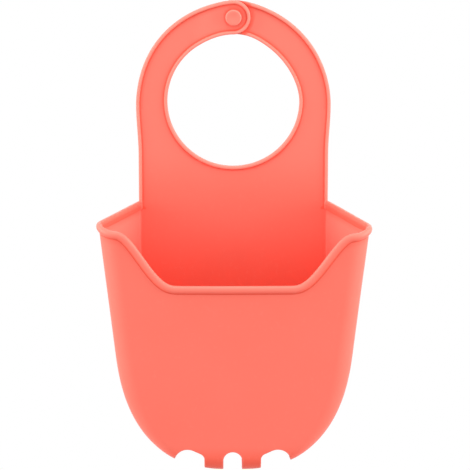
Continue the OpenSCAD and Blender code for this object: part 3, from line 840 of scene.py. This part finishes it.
def arm_band(side):
    """Two half sections back to back across the band, from the root to over the hole;
    there the outer half is turned round the snap's centre and makes the round end. The
    snap pulls both tabs up a little, the left band swells out and the right one in."""
    deg = np.linspace(-root_deg, 90, band_rows)
    a, b = np.radians(deg), np.radians(level_turn(deg))
    start = hole_r + snap_lift * step((deg - lift_deg) / lift_run)
    if side > 0:
        start = start - right_swell * np.sin(np.pi * np.clip(deg / right_deg, 0, 1)) ** 1.3
    width = outer_point(start, a, b) + top_lift * step((deg - rise_deg) / rise_run)
    if side < 0:
        width = width + left_swell * np.sin(np.pi * np.clip(deg / left_deg, 0, 1)) ** 2
    start = start[:, None]
    rib = edge_rib()
    fixed = rib.shape[0]
    fill = np.array([0.1, 0.3, 0.53, 0.76, 1])
    def half_section(w):
        mid = w[:, None] / 2
        front = rib[-1, 0] + (mid - rib[-1, 0]) * fill
        rear = rib[0, 0] + (mid - rib[0, 0]) * fill[::-1]
        d = np.concatenate([rear, np.broadcast_to(rib[:, 0], (len(w), fixed)), front], 1)
        h = np.concatenate([np.zeros(rear.shape), np.broadcast_to(rib[:, 1], (len(w), fixed)),
                            np.full(front.shape, web_t)], 1)
        return d, h
    d, h = half_section(width)
    cos_a, sin_a, cos_b, sin_b = (v[:, None] for v in (np.cos(a), np.sin(a), np.cos(b), np.sin(b)))
    reach_out, reach_in = width[:, None] - d, d
    ring_d = np.concatenate([reach_out, reach_in[:, -2:0:-1]], 1)
    ring_h = np.concatenate([h, h[:, -2:0:-1]], 1)
    band = np.stack([-(start * cos_a + ring_d * cos_b), -ring_h, start * sin_a + ring_d * sin_b], -1)
    band[-1, :, 0] = 0
    spin = np.radians(np.linspace(0, 180, end_rows))[:, None]
    d1, h1 = half_section(np.array([2 * tab_r]))
    end = np.stack([(tab_r - d1) * np.sin(spin), np.broadcast_to(-h1, (end_rows, d1.shape[1])),
                    snap_z + (tab_r - d1) * np.cos(spin)], -1)
    rows, cols = band.shape[:2]
    faces = lattice(rows, cols, closed=True) + lattice(end_rows, end.shape[1], rows * cols)
    faces.append(list(range(cols)))
    # Painted light across the band: the rib's painted highlight and painted shade, and the loop's painted
    # highlight on the web.
    line = np.concatenate([np.zeros(5), rib_painted_light, loop_painted_light + contact_painted_shade * np.array([0.25, 0, 0, 0, 0])])
    tone = np.concatenate([np.broadcast_to(np.concatenate([line, line[-2:0:-1]]), (rows, cols)).ravel(),
                           np.broadcast_to(line, (end_rows, len(line))).ravel()])
    return band.reshape(-1, 3), end.reshape(-1, 3), faces, tone


def disc_cutter(r, near, far):
    """A round cutter on the snap's axis between two depths."""
    ring = bow(0, snap_z, r, 0, 360, disc_n + 1)[:-1]
    return swept("disc_cutter", np.stack([np.stack([ring[:, 0], np.full(disc_n, y), ring[:, 1]], -1)
                                          for y in (near, far)]))


def left_arm():
    """The band with its end, shifted forward by a smooth step where it laps, with painted
    shade round the knob, and with the buttonhole cut."""
    band, end, faces, tone = arm_band(-1)
    points = np.concatenate([band, end])
    points[:, 1] -= lap * step((points[:, 0] - lap_from) / (lap_to - lap_from)) * (points[:, 2] > 0)
    from_snap = np.hypot(points[:, 0], points[:, 2] - snap_z)
    tone -= (tone + knob_shade) * np.clip((knob_shade_r - from_snap) / knob_shade_w, 0, 1)
    piece = moulding("left_arm_band", points, faces, tone)
    carve(piece, [disc_cutter(stem_hole_r, 1, -in_front)])
    return piece


def right_arm():
    """The same band mirrored, thinned to the back tab inside the round that the left
    tab's end fills, and with painted shade beside that end."""
    band, end, faces, tone = arm_band(1)
    points = np.concatenate([band, end]) * [-1, 1, 1]
    beside = np.hypot(points[:, 0], points[:, 2] - snap_z) - tab_r
    shade = tab_shade * np.clip(1 - beside / tab_shade_w, 0, 1) * (points[:, 1] < -web_t + 0.01)
    tone = np.where(shade < 0, np.minimum(tone * (1 + shade), shade), tone)
    piece = moulding("right_arm_band", points, faces, tone)
    carve(piece, [disc_cutter(back_tab_r, -back_tab_t, -in_front)])
    return piece


left_band = left_arm()
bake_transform(left_band)
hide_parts("left_arm_root", "left_arm", "left_tab")
right_band = right_arm()
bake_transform(right_band)
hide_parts("right_arm_root", "right_arm", "right_tab")

# Snap knob. A mushroom moulded on the right tab: its stem goes through the buttonhole,
# and its round head, dimpled a little in the middle, holds the left tab.
knob_r, knob_t, stem_r, knob_seat, dimple = 4.1, 1.9, 2.4, 3.8, 0.35
knob_edge_r, face_from, stem_cove, stem_y, knob_n = 0.8, 1.1, 0.3, 1.0, 72
# Painted shade on the hidden stem and underside, and a painted highlight on the head's rim and face.
hidden_painted_shade, face_painted_light = -1.0, 0.4
knob_edge_painted_light = [-0.9, -0.4, 0.3, 0.7, 0.9, 0.8, 0.6, 0.5]


def knob():
    """A profile of radius and depth turned round the snap's axis: stem, underside, round
    rim, and a face that is hollowed like a shallow ball."""
    edge = knob_edge_r
    rim = bow(knob_r - edge, knob_seat + edge, edge, 270, 360, 7)
    face = bow(knob_r - edge, knob_seat + knob_t - edge, edge, 0, 90, 8)
    face_r = knob_r - face_from
    r = np.linspace(face_r, 0, 12)[1:]
    hollow = np.stack([r, knob_seat + knob_t - dimple * step((face_r - r) / face_r) ** 0.8], -1)
    stem = [[0, stem_y], [stem_r, stem_y], [stem_r, knob_seat - stem_cove], [stem_r + stem_cove, knob_seat]]
    profile = np.concatenate([stem, rim, face, hollow])
    a = np.radians(np.arange(knob_n) * 360 / knob_n)[:, None]
    turned = np.stack([profile[:, 0] * np.cos(a), -np.broadcast_to(profile[:, 1], (knob_n, len(profile))),
                       snap_z + profile[:, 0] * np.sin(a)], -1)
    rows, cols = turned.shape[:2]
    faces = lattice(rows, cols) + [[(rows - 1) * cols + c, (rows - 1) * cols + c + 1, c + 1, c]
                                   for c in range(cols - 1)]
    tone = np.concatenate([np.full(len(stem) + len(rim), hidden_painted_shade), knob_edge_painted_light,
                           np.full(len(hollow), face_painted_light)])
    return moulding("snap_knob_head", turned.reshape(-1, 3), faces, np.broadcast_to(tone, (rows, cols)))


knob_piece = knob()
knob_piece.data.materials.append(matt_silicone)
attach(knob_piece, "right_arm")
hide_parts("snap_knob")

# Studio. A white floor well below the hanging pouch, a white sky, and soft boxes in
# front, above, behind and at both sides. The camera stands 1.2 m away, 12 degrees above
# and 0.45 degrees to the left, and is shifted to frame the part as the photograph does.
photo_px, photo_x, photo_y, focal = 470, 233.9, 228.15, 2392.92


def look(aim):
    """Turn that points an object's -Z along a direction, with its top upwards."""
    aim = aim / np.linalg.norm(aim)
    return np.arccos(-aim[2]), 0.0, float(np.arctan2(aim[1], aim[0]) - np.pi / 2)


def soft_box(name, place, level, size):
    """A square lamp aimed at the pouch; level is the light it adds to a surface that
    faces it, where 1 shows a colour as written: power is level pi^2 distance^2."""
    lamp = bpy.data.lights.new(name, "AREA")
    aim = np.array([0, -0.03, -0.06]) - np.array(place)
    lamp.size, lamp.energy = size, level * np.pi ** 2 * float(aim @ aim)
    body = bpy.data.objects.new(name, lamp)
    body.location = place
    body.rotation_euler = look(aim)
    bpy.context.scene.collection.objects.link(body)


soft_box("front_box", (0.30, -1.3, 0.55), 0.05, 0.8)
soft_box("top_box", (0.05, -0.45, 1.2), 0.32, 0.6)
soft_box("left_box", (-1.1, -0.15, 0.15), 0.76, 0.7)
soft_box("right_box", (1.1, -0.15, 0.15), 0.78, 0.7)
soft_box("back_box", (0.2, 1.2, 0.5), 0.16, 0.8)

room_level, floor_grey, floor_side, floor_low = 0.84, 0.78, 9, -2.4
world = bpy.data.worlds.new("white_room")
bpy.context.scene.world = world
world.use_nodes = True
sky = world.node_tree.nodes["Background"]
ray = Ink(world.node_tree, world.node_tree.nodes.new("ShaderNodeLightPath").outputs["Is Camera Ray"])
mirror = Ink(world.node_tree, ray.socket.node.outputs["Is Glossy Ray"])
clear = Ink(world.node_tree, ray.socket.node.outputs["Is Transmission Ray"])
seen = ray.maths("MAXIMUM", ray.maths("MAXIMUM", ray, mirror), clear)
level = room_level + seen * (1 - room_level)
world.node_tree.links.new(level.socket, sky.inputs["Strength"])
sky.inputs["Color"].default_value = (1, 1, 1, 1)

floor_mesh = bpy.data.meshes.new("white_floor")
floor_corners = [(x * floor_side, y * floor_side, floor_low) for x, y in ((-1, -1), (1, -1), (1, 1), (-1, 1))]
floor_mesh.from_pydata(floor_corners, [], [(0, 1, 2, 3)])
floor = bpy.data.objects.new("white_floor", floor_mesh)
bpy.context.scene.collection.objects.link(floor)
paper = bpy.data.materials.new("white_paper")
paper.use_nodes = True
paper_tree = paper.node_tree
paper_tree.nodes.remove(paper_tree.nodes["Principled BSDF"])
lit = Ink(paper_tree, paper_tree.nodes.new("ShaderNodeBsdfDiffuse").outputs[0])
lit.socket.node.inputs["Color"].default_value = (floor_grey, floor_grey, floor_grey, 1)
glow = lit.add("ShaderNodeEmission", Color=(1, 1, 1, 1), Strength=1.0)
paths = paper_tree.nodes.new("ShaderNodeLightPath")
shown = lit.maths("MAXIMUM", Ink(paper_tree, paths.outputs["Is Camera Ray"]),
                  Ink(paper_tree, paths.outputs["Is Glossy Ray"]))
shown = lit.maths("MAXIMUM", shown, Ink(paper_tree, paths.outputs["Is Transmission Ray"]))
both = lit.add("ShaderNodeMixShader", _0=shown, _1=lit, _2=glow)
paper_tree.links.new(both.socket, paper_tree.nodes["Material Output"].inputs["Surface"])
floor_mesh.materials.append(paper)

eye_dist, eye_high, eye_turn = 1.2, np.radians(12), np.radians(-0.45)
back_way = np.array([np.sin(eye_turn) * np.cos(eye_high), -np.cos(eye_turn) * np.cos(eye_high),
                     np.sin(eye_high)])
eye = np.array([0, -0.034, -0.0593]) + back_way * eye_dist
right = np.array([np.cos(eye_turn), np.sin(eye_turn), 0])
up_way = np.cross(right, -back_way)
aim = -back_way + right * (photo_px / 2 - photo_x) / focal - up_way * (photo_px / 2 - photo_y) / focal
lens = bpy.data.cameras.new("photo_camera")
lens.sensor_width, lens.lens = 36, focal / photo_px * 36
lens.clip_start, lens.clip_end = 0.05, 30
camera = bpy.data.objects.new("photo_camera", lens)
camera.location = eye
camera.rotation_euler = look(aim)
bpy.context.scene.collection.objects.link(camera)
bpy.context.scene.camera = camera
bpy.context.scene.view_settings.view_transform = "Standard"
